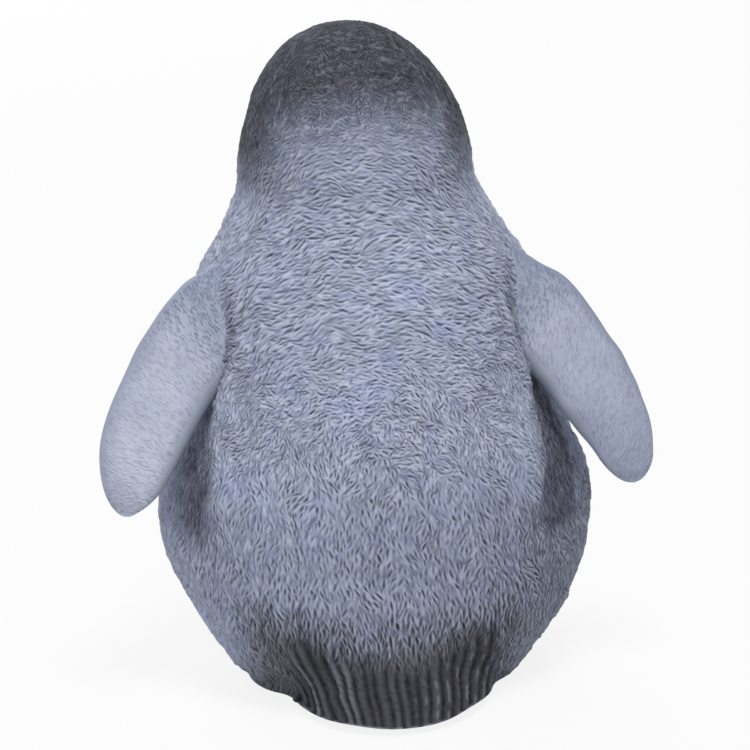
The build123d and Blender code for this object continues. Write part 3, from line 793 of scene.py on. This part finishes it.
def rings_along(line, wide, tall, around):
    """Rows of rings round a line of points that runs level or nearly so."""
    ahead = np.gradient(line, axis=0)
    ahead /= np.linalg.norm(ahead, axis=-1, keepdims=True)
    aside = np.cross(ahead, [0.0, 0.0, 1.0])
    aside /= np.linalg.norm(aside, axis=-1, keepdims=True)
    above = np.cross(aside, ahead)
    swing = circle(around)
    return (
        line[:, None]
        + np.cos(swing)[None, :, None] * aside[:, None] * wide[:, None, None]
        + np.sin(swing)[None, :, None] * above[:, None] * tall[:, None, None]
    )


def toe_ways():
    """Direction and length of the left foot's three toes."""
    for turn_by in (-TOE_SPREAD, 0, TOE_SPREAD):
        way = math.radians(TOE_TURN + turn_by - 90)
        yield np.array([math.cos(way), math.sin(way), 0.0]), TOE_LENGTH - (SIDE_TOE_CUT if turn_by else 0.0)


def joined(name, shells):
    """One mesh from several closed tubes."""
    points = []
    faces = []
    for rows in shells:
        base = sum(len(p) for p in points)
        count, around = rows.shape[:2]
        index = base + np.arange(count * around).reshape(count, around)
        faces += ring_faces(index)
        faces.append(index[0].tolist())
        faces.append(index[-1][::-1].tolist())
        points.append(rows.reshape(-1, 3))
    mesh = bpy.data.meshes.new(name)
    mesh.from_pydata((np.concatenate(points) * MM).tolist(), [], faces)
    return add_object(name, mesh)


def foot(side, name):
    """One foot: toes, web and instep run together, then scaled on top."""
    shells = []
    share = np.linspace(0, 1, 60)
    for way, length in toe_ways():
        swell = TOE_SWELL + 0.7 * bell(share, 0.55, 0.2) - 1.6 * step(0.75, 1.0, share)
        end = np.sqrt(np.clip(1 - (np.clip(share - 0.86, 0, None) / 0.14) ** 2, 0.04, 1))
        wide = swell * end
        line = FOOT_START + way * (length + 2.6) * share[:, None]
        line = line + np.array([0, 0, 1.0]) * (1.2 + 0.62 * swell)[:, None]
        shells.append(rings_along(line, wide, 0.92 * wide, 40))
    dome = np.linspace(-1, 1, 50) * math.pi / 2 * 0.98
    bump = FOOT_START + np.array([0, 0, INSTEP_LEVEL])
    bump = bump + np.array([0, -1.0, 0]) * INSTEP_RADIUS * np.sin(dome)[:, None]
    shells.append(rings_along(bump, INSTEP_RADIUS * np.cos(dome), INSTEP_HEIGHT * np.cos(dome), 48))
    toe_turn = math.radians(TOE_TURN)
    forward = np.array([math.sin(toe_turn), -math.cos(toe_turn), 0.0])
    web = FOOT_START + np.array([0, 0, WEB_LEVEL])
    web = web + forward * (WEB_AHEAD + WEB_RADIUS * np.sin(dome))[:, None]
    shells.append(rings_along(web, WEB_RADIUS * np.cos(dome), WEB_LEVEL * np.cos(dome), 40))
    rough = joined(name + "_rough", shells)
    merge = rough.modifiers.new("merge", "REMESH")
    merge.mode = "VOXEL"
    merge.voxel_size = 0.42 * MM
    soften = rough.modifiers.new("soften", "SMOOTH")
    soften.iterations = 6
    ready = rough.evaluated_get(bpy.context.evaluated_depsgraph_get())
    mesh = bpy.data.meshes.new_from_object(ready)
    bpy.data.objects.remove(rough)
    co = np.empty(len(mesh.vertices) * 3)
    normal = np.empty(len(mesh.vertices) * 3)
    mesh.vertices.foreach_get("co", co)
    mesh.vertices.foreach_get("normal", normal)
    co = co.reshape(-1, 3) / MM
    normal = normal.reshape(-1, 3)
    best = np.full(len(co), np.inf)
    run = np.zeros(len(co))
    for way, _ in toe_ways():
        away = (co - FOOT_START) * np.array([1, 1, 0])
        along = away @ way
        off = np.linalg.norm(away - along[:, None] * way, axis=-1)
        run = np.where(off < best, along, run)
        best = np.minimum(best, off)
    phase = np.mod(run / SCALE_LENGTH + 0.06 * waves(co, 4, 81), 1.0)
    plate = 1 - np.abs(2 * phase - 1) ** 3
    on_top = step(0.15, 0.55, normal[:, 2]) * (1 - step(3.2, 4.6, best)) * step(5, 9, run)
    pebble = waves(co, 1.5, 82)
    co = co + normal * (0.34 * (plate - 0.6) * on_top + 0.07 * pebble * (1 - on_top))[:, None]
    co[:, 2] = np.maximum(co[:, 2], SOLE_LEVEL)
    if side < 0:
        co = co * MIRROR
        mesh.flip_normals()
    mesh.vertices.foreach_set("co", (co * MM).ravel())
    shade_smooth(mesh)
    piece = add_object(name, mesh)
    paint(piece, "zones", [1 - plate * on_top])
    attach(piece, "root")
    return piece


def claws(side, name):
    """The three claws of one foot, each bent down to its tip."""
    shells = []
    share = np.linspace(0, 1, 30)
    for way, length in toe_ways():
        line = FOOT_START + way * (length + 0.4 + 6.8 * share)[:, None]
        line[:, 2] += 4.9 - 1.9 * share**2
        thick = 2.1 * (1 - share) ** 0.75 + 0.25
        rows = rings_along(line, 0.85 * thick, thick, 28)
        if side < 0:
            rows = rows[:, ::-1] * MIRROR
        shells.append(rows)
    piece = joined(name, shells)
    shade_smooth(piece.data)
    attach(piece, "root")
    return piece


left_foot = foot(1, "foot_left")
right_foot = foot(-1, "foot_right")
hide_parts("left_foot")
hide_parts("right_foot")
left_claws = claws(1, "claws_left")
right_claws = claws(-1, "claws_right")


# Materials
def material(name):
    """A new material with its shader and a helper that adds and links nodes."""
    made = bpy.data.materials.new(name)
    made.use_nodes = True
    tree = made.node_tree
    shader = tree.nodes["Principled BSDF"]

    def node(kind, inputs=None, **settings):
        new = tree.nodes.new(kind)
        for key, value in settings.items():
            setattr(new, key, value)
        for key, value in (inputs or {}).items():
            if isinstance(value, bpy.types.NodeSocket):
                tree.links.new(value, new.inputs[key])
            else:
                new.inputs[key].default_value = value
        return new

    return made, tree, shader, node


def mixed(node, amount, first, second):
    """A colour mixed from two, each a colour or a socket."""
    return node("ShaderNodeMix", {0: amount, 6: first, 7: second}, data_type="RGBA").outputs[2]


def math_node(node, operation, first, second):
    """One sum on sockets or numbers, kept between 0 and 1."""
    return node("ShaderNodeMath", {0: first, 1: second}, operation=operation, use_clamp=True).outputs[0]


def noise_node(node, spots, size, detail):
    """Noise over points of the object."""
    return node("ShaderNodeTexNoise", {"Vector": spots.outputs["Object"], "Scale": size, "Detail": detail})


def ramp(node, value, low, high, start=0.0, end=1.0):
    """A socket's value spread from one range to another."""
    sockets = {"Value": value, "From Min": low, "From Max": high, "To Min": start, "To Max": end}
    return node("ShaderNodeMapRange", sockets).outputs[0]


def grain(node, tree, shader, size, strength, distance):
    """A fine cast surface as bump, over points of the object."""
    spots = node("ShaderNodeTexCoord")
    noise = noise_node(node, spots, size, 5.0)
    bump = node("ShaderNodeBump", {"Strength": strength, "Distance": distance, "Height": noise.outputs[0]})
    tree.links.new(bump.outputs[0], shader.inputs["Normal"])
    return spots, noise


def zone_channels(node, name):
    """The colour channels of one of the mesh's mask layers, and its fourth channel."""
    layer = node("ShaderNodeAttribute", attribute_name=name)
    return [*node("ShaderNodeSeparateColor", {0: layer.outputs["Color"]}).outputs[:3], layer.outputs["Alpha"]]


def plumage_material():
    """Painted resin: pale ridges over a dark wash in the grooves, with a dark crown and tail, and painted
    shade in the armpits, along the flipper seams and low down.
    """
    made, tree, shader, node = material("painted_plumage")
    spots, noise = grain(node, tree, shader, 1900.0, 0.25, 0.0004)
    deep_zone, crown_zone, tail_zone, armpit_shade_zone = zone_channels(node, "zones")
    face_zone, belly_zone, pale_zone, collar_zone = zone_channels(node, "front")
    low_shade_and_fringe_zone = zone_channels(node, "tone")[0]
    mottle = ramp(node, noise_node(node, spots, 46.0, 4.0).outputs[0], 0.35, 0.68)
    ridge = mixed(node, mottle, colour(140, 148, 176), colour(159, 168, 198))
    valley = mixed(node, mottle, colour(60, 68, 94), colour(72, 81, 109))
    tint = ramp(node, noise_node(node, spots, 110.0, 3.0).outputs[0], 0.36, 0.64, end=0.5)
    for mask, high, low in (
        (tint, colour(147, 155, 168), colour(72, 78, 90)),
        # Painted shade low down and on the lower right, together with the tail's dark fringe strands
        (low_shade_and_fringe_zone, colour(84, 89, 105), colour(44, 47, 59)),
        (belly_zone, colour(196, 199, 207), colour(150, 155, 168)),
        (crown_zone, colour(59, 58, 69), colour(18, 17, 23)),
        # Painted shade in the armpit hollows and painted shadow along the flipper seams
        (armpit_shade_zone, colour(66, 67, 85), colour(22, 23, 34)),
        (tail_zone, colour(79, 79, 87), colour(22, 22, 29)),
        (collar_zone, colour(70, 70, 78), colour(48, 48, 55)),
        (face_zone, colour(226, 226, 224), colour(188, 189, 192)),
    ):
        ridge = mixed(node, mask, ridge, high)
        valley = mixed(node, mask, valley, low)
    broken = ramp(node, noise_node(node, spots, 620.0, 3.0).outputs[0], 0.3, 0.7, start=0.72)
    fill = math_node(node, "MULTIPLY", ramp(node, deep_zone, 0.0, 0.8), broken)
    base = mixed(node, fill, ridge, valley)
    # Pale dry-brushed paint on the ridges, with a painted highlight on the lips and ribs
    lit = mixed(node, pale_zone, base, mixed(node, 0.5, base, colour(226, 231, 246)))
    tree.links.new(lit, shader.inputs["Base Color"])
    tree.links.new(ramp(node, noise.outputs[0], 0.0, 1.0, 0.62, 0.86), shader.inputs["Roughness"])
    shader.inputs["Specular IOR Level"].default_value = 0.3
    return made


def flipper_material():
    """Smooth painted resin: pale blue-grey with darker dashes and a greyer trailing edge."""
    made, tree, shader, node = material("painted_flipper")
    spots, noise = grain(node, tree, shader, 1500.0, 0.15, 0.0003)
    dash_zone, along_zone, trailing_zone, shade_zone = zone_channels(node, "zones")
    mottle = ramp(node, noise_node(node, spots, 60.0, 4.0).outputs[0], 0.35, 0.68)
    ground = mixed(node, mottle, colour(176, 182, 201), colour(193, 199, 216))
    for mask, shade in (
        (math_node(node, "MULTIPLY", trailing_zone, 0.7), colour(150, 157, 172)),
        (ramp(node, along_zone, 0.0, 0.2, 0.9, 0.0), colour(152, 160, 183)),
        # Painted shade on the outer edge and towards the right flipper's tip
        (shade_zone, colour(143, 151, 174)),
        (math_node(node, "MULTIPLY", dash_zone, 0.8), colour(104, 112, 134)),
    ):
        ground = mixed(node, mask, ground, shade)
    tree.links.new(ground, shader.inputs["Base Color"])
    tree.links.new(ramp(node, noise.outputs[0], 0.0, 1.0, 0.52, 0.74), shader.inputs["Roughness"])
    shader.inputs["Specular IOR Level"].default_value = 0.35
    return made


def two_tone(name, dark, pale, size, rough, shine, bump, masked=False):
    """A material that mixes two tones by noise, on masked pieces along the first of the mesh's masks."""
    made, tree, shader, node = material(name)
    _, noise = grain(node, tree, shader, size, bump, 0.0004)
    amount = noise.outputs[0]
    if masked:
        mask = zone_channels(node, "zones")[0]
        amount = math_node(node, "MULTIPLY", mask, math_node(node, "ADD", noise.outputs[0], 0.3))
    tree.links.new(mixed(node, amount, dark, pale), shader.inputs["Base Color"])
    tree.links.new(ramp(node, noise.outputs[0], 0.0, 1.0, *rough), shader.inputs["Roughness"])
    shader.inputs["Specular IOR Level"].default_value = shine
    return made


def dress(piece, made):
    """Puts one material on a piece, in place of any it has."""
    piece.data.materials.clear()
    piece.data.materials.append(made)


dress(plumage, plumage_material())
flipper_paint = flipper_material()
foot_tones = (colour(74, 72, 76), colour(34, 33, 36))
claw_tones = (colour(22, 21, 23), colour(52, 50, 51))
beak_tones = (colour(38, 37, 41), colour(14, 13, 16))
eye_tones = (colour(12, 9, 8), colour(46, 27, 16))
foot_paint = two_tone("painted_foot", *foot_tones, 900.0, (0.5, 0.72), 0.35, 0.2, masked=True)
claw_paint = two_tone("painted_claw", *claw_tones, 500.0, (0.28, 0.45), 0.45, 0.1)
beak_paint = two_tone("painted_beak", *beak_tones, 700.0, (0.34, 0.5), 0.45, 0.12, masked=True)
eye_gloss = two_tone("gloss_eye", *eye_tones, 400.0, (0.03, 0.06), 0.6, 0.0, masked=True)
for pieces, made in (
    ((left_flipper, right_flipper), flipper_paint),
    ((left_foot, right_foot), foot_paint),
    ((left_claws, right_claws), claw_paint),
    ((shaped_beak,), beak_paint),
    ((left_eye, right_eye), eye_gloss),
):
    for piece in pieces:
        dress(piece, made)

# The pieces underneath keep their solids and get their own materials
resin = two_tone("bare_resin", colour(126, 125, 122), colour(158, 156, 151), 260.0, (0.55, 0.8), 0.35, 0.3)
rubber = two_tone("rubber_bung", colour(22, 22, 23), colour(44, 43, 43), 700.0, (0.6, 0.8), 0.3, 0.25)
felt = two_tone("felt_pad", colour(34, 35, 38), colour(78, 79, 84), 2600.0, (0.9, 1.0), 0.1, 0.9)
steel = two_tone("steel_pin", colour(120, 121, 124), colour(176, 177, 179), 1200.0, (0.25, 0.42), 0.5, 0.1)
steel.node_tree.nodes["Principled BSDF"].inputs["Metallic"].default_value = 1.0
for node_name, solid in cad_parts.items():
    for mark, made in (("base_plate", resin), ("vent_plug", rubber), ("pad_", felt), ("_pin", steel)):
        if mark in node_name:
            dress(solid, made)


# Floor, light and camera: aims in metres, and the figure's middle in the picture in pixels
LAMP_AIM = Vector((0, 0, 0.09))
CAMERA_AIM = Vector((0, 0, 0.082))
CAMERA_DISTANCE = 1.0
PICTURE_WIDTH = 750
MIDDLE_COLUMN = 368.5
MIDDLE_ROW = 374.0
MM_PER_PIXEL = 0.2666


def white_for_camera(name, lit, share):
    """A floor that shows mostly white to the camera and still takes the figure's shadow."""
    made, tree, shader, node = material(name)
    shader.inputs["Base Color"].default_value = lit
    shader.inputs["Roughness"].default_value = 0.9
    path = node("ShaderNodeLightPath")
    seen = math_node(node, "MAXIMUM", path.outputs["Is Camera Ray"], path.outputs["Is Glossy Ray"])
    seen = math_node(node, "MULTIPLY", seen, share)
    glow = node("ShaderNodeEmission", {"Color": (1, 1, 1, 1), "Strength": 1.0})
    both = node("ShaderNodeMixShader", {0: seen, 1: shader.outputs[0], 2: glow.outputs[0]})
    tree.links.new(both.outputs[0], tree.nodes["Material Output"].inputs[0])
    return made


def floor_plane():
    """A wide floor under the figure."""
    mesh = bpy.data.meshes.new("floor")
    half = 4.0
    corners = [(-half, -half, 0), (half, -half, 0), (half, half, 0), (-half, half, 0)]
    mesh.from_pydata(corners, [], [(0, 1, 2, 3)])
    piece = add_object("floor", mesh)
    mesh.materials.append(white_for_camera("pale_floor", (0.86, 0.86, 0.86, 1), 0.86))


def world_light(strength):
    """Even light from all round, with white behind the figure."""
    world = bpy.data.worlds.new("studio")
    scene.world = world
    world.use_nodes = True
    tree = world.node_tree
    sky = tree.nodes["Background"]
    sky.inputs[0].default_value = (0.95, 0.97, 1.0, 1)
    sky.inputs[1].default_value = strength
    white = tree.nodes.new("ShaderNodeBackground")
    white.inputs[0].default_value = (1, 1, 1, 1)
    path = tree.nodes.new("ShaderNodeLightPath")
    both = tree.nodes.new("ShaderNodeMixShader")
    tree.links.new(path.outputs["Is Camera Ray"], both.inputs[0])
    tree.links.new(sky.outputs[0], both.inputs[1])
    tree.links.new(white.outputs[0], both.inputs[2])
    tree.links.new(both.outputs[0], tree.nodes["World Output"].inputs[0])


def lamp(name, place_m, size, power):
    """A soft square lamp that faces the figure's middle."""
    data = bpy.data.lights.new(name, "AREA")
    data.size = size
    data.energy = power
    piece = add_object(name, data)
    piece.location = place_m
    piece.rotation_euler = (LAMP_AIM - Vector(place_m)).to_track_quat("-Z", "Y").to_euler()


def photo_camera():
    """The photograph's view: from behind, a little above, with the picture leaning slightly."""
    azimuth = math.radians(175.6)
    elevation = math.radians(14.5)
    roll = math.radians(3.0)
    level = math.cos(elevation)
    back = Vector((math.sin(azimuth) * level, -math.cos(azimuth) * level, math.sin(elevation)))
    right = Vector((math.cos(azimuth), math.sin(azimuth), 0))
    above = back.cross(right)
    right_now = right * math.cos(roll) - above * math.sin(roll)
    above_now = right * math.sin(roll) + above * math.cos(roll)
    data = bpy.data.cameras.new("camera")
    data.angle = 2 * math.atan(MM_PER_PIXEL * PICTURE_WIDTH / 2 * MM / CAMERA_DISTANCE)
    data.shift_x = (PICTURE_WIDTH / 2 - MIDDLE_COLUMN) / PICTURE_WIDTH
    data.shift_y = (MIDDLE_ROW - PICTURE_WIDTH / 2) / PICTURE_WIDTH
    data.clip_start = 0.01
    piece = add_object("camera", data)
    turned = piece.matrix_world.copy()
    for i in range(3):
        turned[i][0] = right_now[i]
        turned[i][1] = above_now[i]
        turned[i][2] = back[i]
        turned[i][3] = (CAMERA_AIM + back * CAMERA_DISTANCE)[i]
    piece.matrix_world = turned
    scene.camera = piece


floor_plane()
world_light(0.30)
lamp("key", (-0.15, 0.85, 1.75), 0.7, 22.0)
lamp("fill", (1.2, 1.3, 0.6), 1.0, 4.5)
lamp("front", (0.3, -1.6, 0.9), 1.2, 12.0)
photo_camera()
